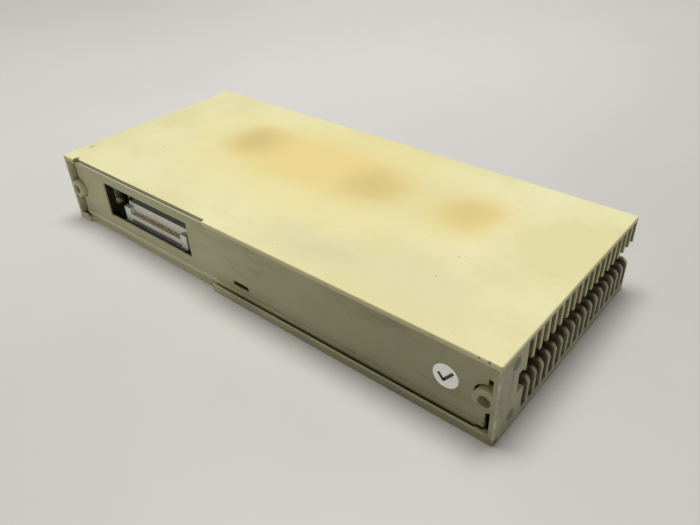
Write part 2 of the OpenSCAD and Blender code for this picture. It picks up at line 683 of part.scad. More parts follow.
module block_screw() {
  difference() {
    along_y(jack_head_r, jack_seat + 0.05, jack_seat + 2.2);
    box([-3, jack_seat + 1.4, -0.4], [3, jack_seat + 3, 0.4]);
  }
  along_y(jack_r, bezel_y - 3, jack_seat + 0.1);
}
module block_screw_left() color("#a9aaa6") shift() translate([jack_x[0], 0, term_z]) block_screw();
module block_screw_right() color("#a9aaa6") shift() translate([jack_x[1], 0, term_z]) block_screw();

lower_shell();
upper_shell();
rear_panel();
round_label();
case_screws();
main_board();
board_screws();
backplane_connector();
connector_contacts();
heat_sinks();
power_transistors();
transistor_legs();
transistor_screws();
power_capacitors();
film_capacitors();
optocouplers();
driver_chips();
bus_chip();
chip_legs();
fuse_glass();
fuse_caps();
fuse_clips();
front_bezel();
indicator_board();
indicator_lamps();
indicator_window();
terminal_header();
header_pins();
block_nuts();
terminal_block();
terminal_plates();
terminal_screws();
terminal_cover();
block_screw_left();
block_screw_right();
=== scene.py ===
"""Looks of a rack module of a programmable controller: finishes, small pieces, stage."""
import math

import bmesh
import bpy
from mathutils import Matrix, Vector


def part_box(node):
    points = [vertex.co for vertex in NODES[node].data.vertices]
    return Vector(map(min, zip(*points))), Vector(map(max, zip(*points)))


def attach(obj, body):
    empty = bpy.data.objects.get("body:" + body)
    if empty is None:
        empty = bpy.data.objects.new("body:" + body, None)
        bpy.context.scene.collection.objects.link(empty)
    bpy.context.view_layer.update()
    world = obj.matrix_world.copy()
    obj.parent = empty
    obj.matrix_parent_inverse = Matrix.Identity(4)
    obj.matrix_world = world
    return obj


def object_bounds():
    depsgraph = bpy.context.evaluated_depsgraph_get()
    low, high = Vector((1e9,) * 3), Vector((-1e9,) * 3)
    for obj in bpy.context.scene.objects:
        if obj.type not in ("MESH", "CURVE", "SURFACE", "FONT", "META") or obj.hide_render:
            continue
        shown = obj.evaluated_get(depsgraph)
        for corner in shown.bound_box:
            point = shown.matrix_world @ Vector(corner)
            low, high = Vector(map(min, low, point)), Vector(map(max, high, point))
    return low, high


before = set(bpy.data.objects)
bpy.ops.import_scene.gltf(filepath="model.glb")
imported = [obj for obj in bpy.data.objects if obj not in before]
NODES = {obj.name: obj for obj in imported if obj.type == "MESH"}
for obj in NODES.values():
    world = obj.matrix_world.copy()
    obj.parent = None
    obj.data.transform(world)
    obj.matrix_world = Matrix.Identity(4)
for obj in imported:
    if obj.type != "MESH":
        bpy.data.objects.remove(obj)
CAD_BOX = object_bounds()

bl_info = {
    "name": "Rack Module Looks",
    "version": (1, 0, 0),
    "blender": (4, 5, 0),
    "location": "View3D > Sidebar > Rack Module",
    "description": "Finishes, small pieces and stage for a controller rack module",
    "category": "Object",
}

# ---------- places on the case, in metres ----------
TOP_Z = 0.036
# strokes of the tick on the label, from its centre
TICK = (((-0.0027, 0.0002), (-0.0008, -0.0021)), ((-0.0008, -0.0021), (0.0027, 0.0024)))
TICK_THICK = 0.00004
# moulding marks on the end faces
MARK_Y = -0.04475
MARK_HEIGHTS = (0.0064, 0.030)
MARK_RADIUS = 0.00275
# painted strips, each from its low to its high side
CUT_EDGE_X, CUT_EDGE_Y = (-0.1160, -0.0158), (-0.0542, -0.0530)
GROOVE_Y, GROOVE_Z = (-0.0541, -0.0529), (0.0012, 0.0030)
PANEL_RIM_X, PANEL_RIM_Z = (-0.1150, -0.0166), (0.0328, 0.0342)
STRIP_SOFT = 0.0002
# fades at the vents and inside the shells, each from none to full; DEEP is how far in from an end face
VENT_Y, VENT_DEEP = (-0.0376, -0.0368), (0.0125, 0.0115)
VENT_FLOOR, VENT_ROOF = (0.0030, 0.0036), (0.0345, 0.0338)
POST_DEEP, POST_Y = (0.0024, 0.0027), (-0.0376, -0.0380)
INSIDE_DEEP, INSIDE_Y = (0.0080, 0.0092), (-0.0516, -0.0508)
INSIDE_FLOOR, INSIDE_ROOF = (0.0012, 0.0018), (0.0350, 0.0342)
# fades at the rear wall, its plate's edge, the lip and the end faces
WALL_Y, PLATE_Y, LIP_Y = (-0.046, -0.050), (-0.052, -0.0525), (-0.0515, -0.0522)
WALL_RIGHT, WALL_LOW = (-0.06, 0.09), (0.012, 0.003)
PANEL_BACK_Y = (-0.0522, -0.0517)
END_FACE, END_OUTER = (0.1236, 0.1244), (0.1241, 0.1246)
# how much a face looks towards -Y, from none to full
FACES_REAR = (-0.3, -0.8)

# ---------- tones painted on the plastic ----------
# cut edge, plate shade, wall shade, right wall shade, lip shade and end face are painted shade; lip and panel
# rim are painted highlights; the worn corner tone is wear with a painted highlight
TONES = {
    "grey speck": (0.30, 0.29, 0.24),
    "brown speck": (0.16, 0.12, 0.07),
    "cut edge": (0.19, 0.175, 0.10),
    "plate shade": (0.72, 0.72, 0.71),
    "rear plastic": (0.64, 0.65, 0.40),
    "rear smear": (0.27, 0.25, 0.15),
    "wall shade": (0.65, 0.655, 0.65),
    "right wall shade": (0.76, 0.76, 0.75),
    "lip": (0.93, 0.92, 0.62),
    "lip shade": (0.84, 0.83, 0.80),
    "end face": (0.37, 0.38, 0.285),
    "end streak": (0.19, 0.18, 0.11),
    "worn and lit corner": (0.80, 0.77, 0.53),
    "moulding mark": (0.155, 0.145, 0.10),
    "panel rim": (0.92, 0.88, 0.60),
}
# specks on the top and its rear edge, and a painted shade at the left corner of the cut edge: centre, radius,
# how ragged the rim is, depth and tone
TOP_MARKS = (
    ((-0.1212, -0.0408, TOP_Z), 0.0016, 0.002, 0.55, "grey speck"),
    ((0.0700, 0.0368, TOP_Z), 0.0006, 0.001, 0.32, "grey speck"),
    ((0.0706, 0.0372, TOP_Z), 0.0004, 0.001, 0.3, "grey speck"),
    ((0.0830, -0.0132, TOP_Z), 0.0004, 0.001, 0.65, "brown speck"),
    ((0.0848, -0.0112, TOP_Z), 0.0003, 0.001, 0.5, "brown speck"),
    ((0.0830, -0.0282, TOP_Z), 0.0004, 0.000, 0.7, "brown speck"),
    ((0.0560, 0.0060, TOP_Z), 0.0003, 0.001, 0.35, "brown speck"),
    ((-0.0900, -0.0190, TOP_Z), 0.0005, 0.000, 0.5, "brown speck"),
    ((0.0220, -0.0480, TOP_Z), 0.0004, 0.001, 0.35, "grey speck"),
    ((0.1205, -0.0553, 0.0354), 0.0007, 0.001, 0.85, "brown speck"),
    ((0.1168, -0.0553, 0.0354), 0.0005, 0.001, 0.85, "brown speck"),
    # painted shade at the rounded left corner of the cut edge
    ((-0.1148, -0.0535, 0.0352), 0.0020, 0.002, 0.85, "brown speck"),
)
# stains on the top: centre, reach, size of the core, depth and the setting that holds the colour
STAINS = (
    ((-0.010, 0.0120, 0.0), (0.115, 0.062, 1.0), 0.40, 0.60, "yellowed"),
    ((0.0470, 0.0160, 0.0), (0.036, 0.032, 1.0), 0.20, 0.90, "aged"),
    ((-0.015, 0.0143, 0.0), (0.080, 0.034, 1.0), 0.30, 0.95, "tanned"),
    ((0.0700, 0.0145, 0.0), (0.029, 0.029, 1.0), 0.15, 0.80, "tanned"),
    ((-0.0560, 0.0150, 0.0), (0.024, 0.024, 1.0), 0.05, 1.0, "scorch"),
    ((0.0207, 0.0142, 0.0), (0.025, 0.025, 1.0), 0.05, 0.95, "scorch"),
    ((0.0684, 0.0159, 0.0), (0.020, 0.020, 1.0), 0.05, 0.70, "scorch"),
    ((0.036, -0.041, 0.0), (0.034, 0.017, 1.0), 0.10, 0.45, "smudge"),
    ((0.078, -0.034, 0.0), (0.042, 0.024, 1.0), 0.10, 0.30, "smudge"),
)

# ---------- stage ----------
# name, place, aim, size, the setting that holds the power, and tint
LIGHTS = (
    ("main_light", (-0.12, 0.14, 1.6), (0.0, 0.02, 0.0), (1.1, 0.5), "key_power", (1.0, 0.99, 0.97)),
    ("far_light", (-0.9, 1.4, 0.9), (0.0, 0.0, 0.0), (1.0, 0.8), "far_power", (0.98, 0.99, 1.0)),
    ("front_light", (0.15, -1.4, 0.3), (0.0, 0.0, 0.0), (1.0, 0.4), "front_power", (1.0, 1.0, 0.98)),
    ("end_light", (1.6, 0.2, 0.9), (0.0, 0.0, 0.0), (1.0, 1.0), "end_power", (0.97, 0.99, 1.0)),
)
ROOM_TINT = (0.92, 0.96, 1.0, 1.0)
FLOOR_SIZE, FLOOR_GAP = 4.0, 0.00005
# painted shade: the floor's colour gets darker along this way, between these two distances
FLOOR_FADE_WAY, FLOOR_FADE = (0.9, -0.44, 0.0), (-0.26, 0.16)
CAMERA_PLACE = (0.1858, -0.19125, 0.1756)
CAMERA_RIGHT, CAMERA_BACK = (0.7656, 0.6424, -0.0357), (0.5434, -0.6159, 0.5704)


# ---------- sizes and colours a user would change ----------
class ModuleCaseSettings(bpy.types.PropertyGroup):
    fresh: bpy.props.FloatVectorProperty(
        name="Plastic", description="Colour of the case plastic where it is cleanest",
        default=(0.725, 0.685, 0.41), size=3, subtype="COLOR", min=0.0, max=1.0)
    aged: bpy.props.FloatVectorProperty(
        name="Yellowed plastic", description="Colour of the case plastic where light has yellowed it",
        default=(0.655, 0.605, 0.315), size=3, subtype="COLOR", min=0.0, max=1.0)
    yellowed: bpy.props.FloatVectorProperty(
        name="Warm halo", description="Colour of the plastic round the heat stains",
        default=(0.71, 0.63, 0.28), size=3, subtype="COLOR", min=0.0, max=1.0)
    tanned: bpy.props.FloatVectorProperty(
        name="Tanned band", description="Colour of the plastic between the heat stains",
        default=(0.70, 0.56, 0.225), size=3, subtype="COLOR", min=0.0, max=1.0)
    scorch: bpy.props.FloatVectorProperty(
        name="Heat stain", description="Colour of the plastic over the hot parts",
        default=(0.58, 0.46, 0.18), size=3, subtype="COLOR", min=0.0, max=1.0)
    smudge: bpy.props.FloatVectorProperty(
        name="Smudge", description="Colour of the faint grey finger marks",
        default=(0.56, 0.545, 0.36), size=3, subtype="COLOR", min=0.0, max=1.0)
    # painted shade: the colour of the dark inside of the shells and of the rear panel's back
    inside_shade: bpy.props.FloatVectorProperty(
        name="Inside", description="Colour of the painted shade inside the shells",
        default=(0.035, 0.036, 0.032), size=3, subtype="COLOR", min=0.0, max=1.0)
    # dirt, and painted shade in the groove, the vents, the rear wall and the low corners
    grime_and_shade: bpy.props.FloatVectorProperty(
        name="Grime and shade", description="Colour of the dirt in scratches and the dirt and painted shade in corners",
        default=(0.20, 0.17, 0.10), size=3, subtype="COLOR", min=0.0, max=1.0)
    edge_round: bpy.props.FloatProperty(
        name="Edge rounding", description="Radius of the moulded edges",
        default=0.0004, unit="LENGTH", min=0.0, max=0.002)


class ModuleLabelSettings(bpy.types.PropertyGroup):
    paper: bpy.props.FloatVectorProperty(
        name="Label", description="Colour of the round label",
        default=(0.95, 0.945, 0.86), size=3, subtype="COLOR", min=0.0, max=1.0)
    ink: bpy.props.FloatVectorProperty(
        name="Ink", description="Colour of the tick on the label",
        default=(0.012, 0.012, 0.014), size=3, subtype="COLOR", min=0.0, max=1.0)
    stroke: bpy.props.FloatProperty(
        name="Stroke", description="Width of the tick's stroke",
        default=0.0012, unit="LENGTH", min=0.0002, max=0.002)


class ModuleStageSettings(bpy.types.PropertyGroup):
    floor: bpy.props.FloatVectorProperty(
        name="Floor", description="Colour of the floor",
        default=(0.635, 0.621, 0.592), size=3, subtype="COLOR", min=0.0, max=1.0)
    key_power: bpy.props.FloatProperty(
        name="Main light", description="Power of the light over the module",
        default=29.6, unit="POWER", min=0.0)
    far_power: bpy.props.FloatProperty(
        name="Far light", description="Power of the soft light behind the terminal side",
        default=2.0, unit="POWER", min=0.0)
    front_power: bpy.props.FloatProperty(
        name="Front light", description="Power of the low light before the backplane side",
        default=4.6, unit="POWER", min=0.0)
    end_power: bpy.props.FloatProperty(
        name="End light", description="Power of the soft light off the right end",
        default=0.6, unit="POWER", min=0.0)
    ambient: bpy.props.FloatProperty(
        name="Room light", description="Strength of the even light from all round",
        default=0.05, min=0.0, max=2.0)
    lens: bpy.props.FloatProperty(
        name="Lens", description="Focal length of the camera in millimetres",
        default=33.75, min=10.0, max=200.0)


# ---------- node helpers ----------
def fill(tree, item, values):
    """Links a socket value and sets any other value on the node's inputs."""
    for key, value in values.items():
        if isinstance(value, bpy.types.NodeSocket):
            tree.links.new(value, item.inputs[key])
        else:
            item.inputs[key].default_value = value


def add(tree, kind, values=None, **settings):
    """Adds a shader node with its settings and inputs."""
    item = tree.nodes.new("ShaderNode" + kind)
    for key, value in settings.items():
        setattr(item, key, value)
    fill(tree, item, values or {})
    return item


def calc(tree, operation, *values):
    """One value from a Math node."""
    return add(tree, "Math", dict(enumerate(values)), operation=operation).outputs[0]


def vcalc(tree, operation, *values, out=0):
    """One vector from a Vector Math node."""
    return add(tree, "VectorMath", dict(enumerate(values)), operation=operation).outputs[out]


def span(tree, value, low, high, to_low=0.0, to_high=1.0, smooth=True):
    """Maps a value from low..high onto to_low..to_high, clamped."""
    kind = "SMOOTHSTEP" if smooth else "LINEAR"
    return add(tree, "MapRange", {"Value": value, "From Min": low, "From Max": high,
                                  "To Min": to_low, "To Max": to_high},
               interpolation_type=kind).outputs["Result"]


def blend_colours(tree, factor, first, second, kind="MIX"):
    """Mixes two colours."""
    item = tree.nodes.new("ShaderNodeMix")
    item.data_type = "RGBA"
    item.blend_type = kind
    fill(tree, item, {0: factor, 6: first, 7: second})
    return item.outputs[2]


def noise(tree, vector, scale, detail=3.0, rough=0.55, out="Fac"):
    """Noise on a vector."""
    return add(tree, "TexNoise", {"Vector": vector, "Scale": scale, "Detail": detail,
                                  "Roughness": rough}).outputs[out]


def stretched(tree, vector, scale, turn=(0.0, 0.0, 0.0)):
    """A vector scaled and turned by a Mapping node."""
    return add(tree, "Mapping", {"Vector": vector, "Scale": scale, "Rotation": turn}).outputs[0]


def within(tree, value, low, high, soft):
    """One between low and high, fading out over a soft width."""
    return calc(tree, "MULTIPLY", span(tree, value, low - soft, low), span(tree, value, high + soft, high))


def product(tree, *masks):
    """The product of several masks."""
    total = masks[0]
    for mask in masks[1:]:
        total = calc(tree, "MULTIPLY", total, mask)
    return total


def group(name, sockets_in, sockets_out):
    """A new shader node group with named inputs and outputs."""
    tree = bpy.data.node_groups.new(name, "ShaderNodeTree")
    for label, kind, default in sockets_in:
        socket = tree.interface.new_socket(name=label, in_out="INPUT", socket_type="NodeSocket" + kind)
        if default is not None:
            socket.default_value = default
    for label, kind in sockets_out:
        tree.interface.new_socket(name=label, in_out="OUTPUT", socket_type="NodeSocket" + kind)
    return tree, tree.nodes.new("NodeGroupInput"), tree.nodes.new("NodeGroupOutput")


def use(tree, name, values):
    """Places a group in a material."""
    item = tree.nodes.new("ShaderNodeGroup")
    item.node_tree = bpy.data.node_groups[name]
    fill(tree, item, values)
    return item


def marks(tree, where, colour, spots):
    """Round marks, each a centre, a radius, how ragged its rim is, a depth and a colour."""
    for centre, radius, ragged, depth, tone in spots:
        mask = use(tree, "Round Mark", {"Vector": where, "Centre": centre, "Radius": radius,
                                        "Ragged": ragged})
        colour = blend_colours(tree, calc(tree, "MULTIPLY", mask.outputs[0], depth), colour, rgba(tone))
    return colour


def build_groups():
    """The effects that several finishes share."""
    if "Soft Edge" in bpy.data.node_groups:
        return
    # rounded edges and where they are
    tree, start, end = group("Soft Edge", [("Radius", "Float", 0.0004)],
                             [("Normal", "Vector"), ("Edge", "Float")])
    bevel = add(tree, "Bevel", {"Radius": start.outputs["Radius"]}, samples=6)
    true = add(tree, "NewGeometry")
    turn = vcalc(tree, "DOT_PRODUCT", bevel.outputs[0], true.outputs["Normal"], out="Value")
    fill(tree, end, {"Normal": bevel.outputs[0], "Edge": span(tree, turn, 0.995, 0.8)})
    # moulded grain
    tree, start, end = group("Grain", [("Vector", "Vector", None), ("Size", "Float", 0.0006),
                                       ("Scratches", "Float", 0.0)], [("Height", "Float")])
    fine = noise(tree, start.outputs["Vector"], calc(tree, "DIVIDE", 1.0, start.outputs["Size"]), 2.0, 0.6)
    broad = noise(tree, start.outputs["Vector"], 90.0, 2.0, 0.5)
    drawn = stretched(tree, start.outputs["Vector"], (14.0, 260.0, 260.0), (0.3, 0.2, 0.5))
    line = noise(tree, drawn, 1.0, 4.0, 0.6)
    cut = calc(tree, "MULTIPLY", span(tree, line, 0.66, 0.72), start.outputs["Scratches"])
    total = calc(tree, "ADD", calc(tree, "MULTIPLY", fine, 0.5), calc(tree, "MULTIPLY", broad, 0.6))
    fill(tree, end, {"Height": calc(tree, "SUBTRACT", total, cut)})
    # patchy ageing with specks
    tree, start, end = group("Ageing", [("Vector", "Vector", None), ("Clean", "Color", None),
                                        ("Aged", "Color", None), ("Dirt", "Color", None),
                                        ("Dirt Amount", "Float", 0.3)],
                             [("Color", "Color"), ("Dirt", "Float")])
    where = start.outputs["Vector"]
    patch = span(tree, noise(tree, where, 16.0, 5.0, 0.6), 0.36, 0.66)
    colour = blend_colours(tree, patch, start.outputs["Clean"], start.outputs["Aged"])
    mottle = span(tree, noise(tree, where, 150.0, 4.0, 0.65), 0.35, 0.75)
    colour = blend_colours(tree, calc(tree, "MULTIPLY", mottle, 0.22), colour, start.outputs["Aged"])
    smear = noise(tree, stretched(tree, where, (18.0, 60.0, 60.0), (0.0, 0.0, 0.4)), 1.0, 6.0, 0.7)
    speck = noise(tree, where, 620.0, 1.0, 0.5)
    dirt = calc(tree, "MAXIMUM", calc(tree, "MULTIPLY", span(tree, smear, 0.5, 0.8), 0.55),
                calc(tree, "MULTIPLY", span(tree, speck, 0.735, 0.78), 0.75))
    dirt = calc(tree, "MULTIPLY", dirt, start.outputs["Dirt Amount"])
    fill(tree, end, {"Color": blend_colours(tree, dirt, colour, start.outputs["Dirt"]), "Dirt": dirt})
    # stain that fades out from its centre, as wide as its reach
    tree, start, end = group("Heat Stain", [("Vector", "Vector", None), ("Centre", "Vector", None),
                                            ("Reach", "Vector", (0.02, 0.02, 1.0)), ("Core", "Float", 0.1)],
                             [("Mask", "Float")])
    where = start.outputs["Vector"]
    warp = vcalc(tree, "SUBTRACT", noise(tree, where, 38.0, 4.0, 0.6, "Color"), (0.5, 0.5, 0.5))
    moved = vcalc(tree, "ADD", where, vcalc(tree, "MULTIPLY", warp, (0.014, 0.014, 0.0)))
    away = vcalc(tree, "SUBTRACT", moved, start.outputs["Centre"])
    away = vcalc(tree, "DIVIDE", away, start.outputs["Reach"])
    distance = vcalc(tree, "LENGTH", away, out="Value")
    fill(tree, end, {"Mask": span(tree, distance, 1.0, start.outputs["Core"])})
    # round mark with a slightly ragged rim
    tree, start, end = group("Round Mark", [("Vector", "Vector", None), ("Centre", "Vector", None),
                                            ("Radius", "Float", 0.001), ("Ragged", "Float", 0.0)],
                             [("Mask", "Float")])
    where = start.outputs["Vector"]
    away = vcalc(tree, "DISTANCE", where, start.outputs["Centre"], out="Value")
    rough_rim = calc(tree, "SUBTRACT", noise(tree, where, 900.0, 3.0, 0.7), 0.5)
    away = calc(tree, "ADD", away, calc(tree, "MULTIPLY", rough_rim, start.outputs["Ragged"]))
    away = calc(tree, "DIVIDE", away, start.outputs["Radius"])
    fill(tree, end, {"Mask": span(tree, away, 1.0, 0.78)})
    # dirt and painted shade on the sides of vent bars, and the painted shade of a shell's dark inside
    tree, start, end = group("Shell Depth", [("Vector", "Vector", None), ("Half Length", "Float", 0.125)],
                             [("Vents", "Float"), ("Inside", "Float")])
    apart = add(tree, "SeparateXYZ", {0: start.outputs["Vector"]})
    turned = add(tree, "SeparateXYZ", {0: add(tree, "TexCoord").outputs["Normal"]})
    deep = calc(tree, "SUBTRACT", start.outputs["Half Length"], calc(tree, "ABSOLUTE", apart.outputs["X"]))
    across = span(tree, calc(tree, "ABSOLUTE", turned.outputs["X"]), 0.75, 0.15)
    slots = calc(tree, "MULTIPLY", span(tree, apart.outputs["Y"], *VENT_Y),
                 calc(tree, "MULTIPLY", span(tree, apart.outputs["Z"], *VENT_FLOOR),
                      span(tree, apart.outputs["Z"], *VENT_ROOF)))
    sides = calc(tree, "MULTIPLY", across, span(tree, deep, -0.0002, 0.0020, 0.55, 1.0))
    posts = calc(tree, "MULTIPLY", span(tree, deep, *POST_DEEP), span(tree, apart.outputs["Y"], *POST_Y))
    inner = calc(tree, "MAXIMUM", posts, span(tree, deep, *INSIDE_DEEP))
    fill(tree, end, {
        "Vents": product(tree, sides, slots, span(tree, deep, *VENT_DEEP)),
        "Inside": calc(tree, "MULTIPLY",
                       calc(tree, "MULTIPLY", inner, span(tree, apart.outputs["Y"], *INSIDE_Y)),
                       calc(tree, "MULTIPLY", span(tree, apart.outputs["Z"], *INSIDE_FLOOR),
                            span(tree, apart.outputs["Z"], *INSIDE_ROOF)))})


def finish_tree(name, base, rough, metal=0.0, **shader):
    """A material with a Principled shader, its node tree and its Object coordinates."""
    material = bpy.data.materials.new(name)
    material.use_nodes = True
    material.diffuse_color = (*base[:3], 1.0)
    tree = material.node_tree
    bsdf = tree.nodes["Principled BSDF"]
    bsdf.inputs["Base Color"].default_value = (*base[:3], 1.0)
    bsdf.inputs["Roughness"].default_value = rough
    bsdf.inputs["Metallic"].default_value = metal
    for key, value in shader.items():
        bsdf.inputs[key.replace("_", " ")].default_value = value
    return material, tree, bsdf, add(tree, "TexCoord").outputs["Object"]


def rgba(colour, gain=1.0):
    """A colour with alpha, made lighter or darker by a gain."""
    return (*[min(1.0, c * gain) for c in colour[:3]], 1.0)


def bump(tree, bsdf, height, distance, edge_normal=None):
    """Feeds a height into the shader's normal."""
    values = {"Height": height, "Distance": distance, "Strength": 1.0}
    if edge_normal is not None:
        values["Normal"] = edge_normal
    tree.links.new(add(tree, "Bump", values).outputs[0], bsdf.inputs["Normal"])


def case_plastic(name, clean, aged, dirt_amount, stains=(), rough=0.52, shade=None, scratches=0.25):
    """Yellowed moulded plastic with grain, dirt, heat stains and lighter rubbed edges that are partly a
    painted highlight; shade adds any painted shade.
    """
    look = bpy.context.scene.module_case
    material, tree, bsdf, where = finish_tree(name, clean, rough, Specular_IOR_Level=0.38)
    edge = use(tree, "Soft Edge", {"Radius": look.edge_round})
    age = use(tree, "Ageing", {"Vector": where, "Clean": rgba(clean), "Aged": rgba(aged),
                               "Dirt": rgba(look.grime_and_shade), "Dirt Amount": dirt_amount})
    colour = age.outputs["Color"]
    for centre, reach, core, depth, tone in stains:
        mask = use(tree, "Heat Stain", {"Vector": where, "Centre": centre, "Reach": reach, "Core": core})
        colour = blend_colours(tree, calc(tree, "MULTIPLY", mask.outputs[0], depth), colour, rgba(tone))
    if shade is not None:
        colour = shade(tree, where, colour)
    # lighter edges: partly rubbed wear, partly a painted highlight
    rubbed_and_lit_edge = calc(tree, "MULTIPLY", edge.outputs["Edge"], 0.16)
    colour = blend_colours(tree, rubbed_and_lit_edge, colour, rgba(clean, 1.12))
    chips = span(tree, noise(tree, where, 210.0, 4.0, 0.7), 0.56, 0.64)
    chips = calc(tree, "MULTIPLY", edge.outputs["Edge"], chips)
    colour = blend_colours(tree, calc(tree, "MULTIPLY", chips, 0.6), colour, rgba(look.grime_and_shade, 0.6))
    tree.links.new(colour, bsdf.inputs["Base Color"])
    tree.links.new(calc(tree, "ADD", rough, calc(tree, "MULTIPLY", age.outputs["Dirt"], 0.35)),
                   bsdf.inputs["Roughness"])
    grain = use(tree, "Grain", {"Vector": where, "Size": 0.0007, "Scratches": scratches})
    bump(tree, bsdf, grain.outputs[0], 0.00006, edge.outputs["Normal"])
    return material


def plain_plastic(name, colour, rough, patch=0.12, grain_size=0.0005, depth=0.00003, radius=0.0002, **shader):
    """Moulded plastic or resin with fine grain and slight tone changes."""
    material, tree, bsdf, where = finish_tree(name, colour, rough, **shader)
    edge = use(tree, "Soft Edge", {"Radius": radius})
    tone = span(tree, noise(tree, where, 130.0, 4.0, 0.6), 0.3, 0.7)
    mixed = blend_colours(tree, tone, rgba(colour, 1.0 - patch), rgba(colour, 1.0 + patch))
    pale = rgba([c * 0.7 + 0.25 for c in colour])
    mixed = blend_colours(tree, calc(tree, "MULTIPLY", edge.outputs["Edge"], 0.2), mixed, pale)
    tree.links.new(mixed, bsdf.inputs["Base Color"])
    tree.links.new(span(tree, noise(tree, where, 300.0, 3.0), 0.3, 0.7, rough - 0.06, rough + 0.08),
                   bsdf.inputs["Roughness"])
    grain = use(tree, "Grain", {"Vector": where, "Size": grain_size})
    bump(tree, bsdf, grain.outputs[0], depth, edge.outputs["Normal"])
    return material


def plated_metal(name, colour, rough, tarnish, amount=0.4, radius=0.00015):
    """Plated metal with tarnish and fine drag lines."""
    material, tree, bsdf, where = finish_tree(name, colour, rough, 1.0)
    edge = use(tree, "Soft Edge", {"Radius": radius})
    dull = span(tree, noise(tree, where, 260.0, 5.0, 0.65), 0.4, 0.7)
    dull = calc(tree, "MULTIPLY", dull, amount)
    tree.links.new(blend_colours(tree, dull, rgba(colour), rgba(tarnish)), bsdf.inputs["Base Color"])
    tree.links.new(calc(tree, "ADD", rough, calc(tree, "MULTIPLY", dull, 0.3)), bsdf.inputs["Roughness"])
    lines = noise(tree, stretched(tree, where, (300.0, 3000.0, 3000.0)), 1.0, 2.0)
    bump(tree, bsdf, lines, 0.00001, edge.outputs["Normal"])
    return material


def wear(node, material):
    """Gives a CAD node its finish."""
    slots = NODES[node].data.materials
    slots.clear()
    slots.append(material)


def piece(name, bm, material, body):
    """A flat-faced finished piece at the origin that rides on a body."""
    bmesh.ops.recalc_face_normals(bm, faces=bm.faces)
    mesh = bpy.data.meshes.new(name)
    bm.to_mesh(mesh)
    bm.free()
    obj = bpy.data.objects.new(name, mesh)
    bpy.context.scene.collection.objects.link(obj)
    mesh.materials.append(material)
    for face in mesh.polygons:
        face.use_smooth = False
    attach(obj, body)
    return obj


# ---------- operators ----------
class ModuleStage(bpy.types.Operator):
    """Adds the floor, the lights and the camera"""
    bl_idname = "module.stage"
    bl_label = "Stage"

    def execute(self, context):
        look = context.scene.module_stage
        bm = bmesh.new()
        bmesh.ops.create_grid(bm, x_segments=1, y_segments=1, size=FLOOR_SIZE)
        mesh = bpy.data.meshes.new("floor")
        bm.to_mesh(mesh)
        bm.free()
        floor = bpy.data.objects.new("floor", mesh)
        floor.location = (0.0, 0.0, CAD_BOX[0][2] - FLOOR_GAP)
        context.scene.collection.objects.link(floor)
        material, tree, bsdf, where = finish_tree("floor_surface", look.floor, 0.45)
        tone = span(tree, noise(tree, where, 5.0, 4.0), 0.3, 0.7)
        across = vcalc(tree, "DOT_PRODUCT", where, FLOOR_FADE_WAY, out="Value")
        # painted shade: the floor is darker towards the front and the right
        fade = span(tree, across, *FLOOR_FADE)
        colour = blend_colours(tree, tone, rgba(look.floor, 0.985), rgba(look.floor, 1.015))
        shaded = blend_colours(tree, tone, rgba(look.floor, 0.80), rgba(look.floor, 0.83))
        tree.links.new(blend_colours(tree, fade, colour, shaded), bsdf.inputs["Base Color"])
        mesh.materials.append(material)
        for name, place, aim, size, power, tint in LIGHTS:
            data = bpy.data.lights.new(name, "AREA")
            data.shape = "RECTANGLE"
            data.energy = getattr(look, power)
            data.size, data.size_y = size
            data.color = tint
            light = bpy.data.objects.new(name, data)
            light.location = place
            light.rotation_euler = (Vector(aim) - Vector(place)).to_track_quat("-Z", "Y").to_euler()
            context.scene.collection.objects.link(light)
        world = bpy.data.worlds.new("room")
        world.use_nodes = True
        sky = world.node_tree.nodes["Background"]
        sky.inputs["Color"].default_value = ROOM_TINT
        sky.inputs["Strength"].default_value = look.ambient
        context.scene.world = world
        data = bpy.data.cameras.new("view")
        data.lens = look.lens
        data.sensor_width = 36.0
        data.clip_start = 0.01
        camera = bpy.data.objects.new("view", data)
        right = Vector(CAMERA_RIGHT).normalized()
        back = Vector(CAMERA_BACK).normalized()
        up = back.cross(right).normalized()
        right = up.cross(back)
        turn = Matrix((right, up, back)).transposed()
        camera.matrix_world = Matrix.Translation(CAMERA_PLACE) @ turn.to_4x4()
        context.scene.collection.objects.link(camera)
        context.scene.camera = camera
        context.scene.view_settings.view_transform = "Standard"
        return {"FINISHED"}


# ---------- what is painted on the case ----------
def shell_shade(tree, where, colour):
    """Dirt and painted shade on the vent bars, and painted shade inside the shells."""
    look = bpy.context.scene.module_case
    depth = use(tree, "Shell Depth", {"Vector": where, "Half Length": CAD_BOX[1][0]})
    streak = noise(tree, where, 55.0, 4.0, 0.6)
    # dirt and painted shade on the sides of the vent bars
    vent_dirt_and_shade = calc(tree, "MULTIPLY", depth.outputs["Vents"], span(tree, streak, 0.25, 0.6, 0.62, 0.92))
    colour = blend_colours(tree, vent_dirt_and_shade, colour, rgba(look.grime_and_shade, 0.5))
    # painted shade inside the shells
    return blend_colours(tree, depth.outputs["Inside"], colour, rgba(look.inside_shade))


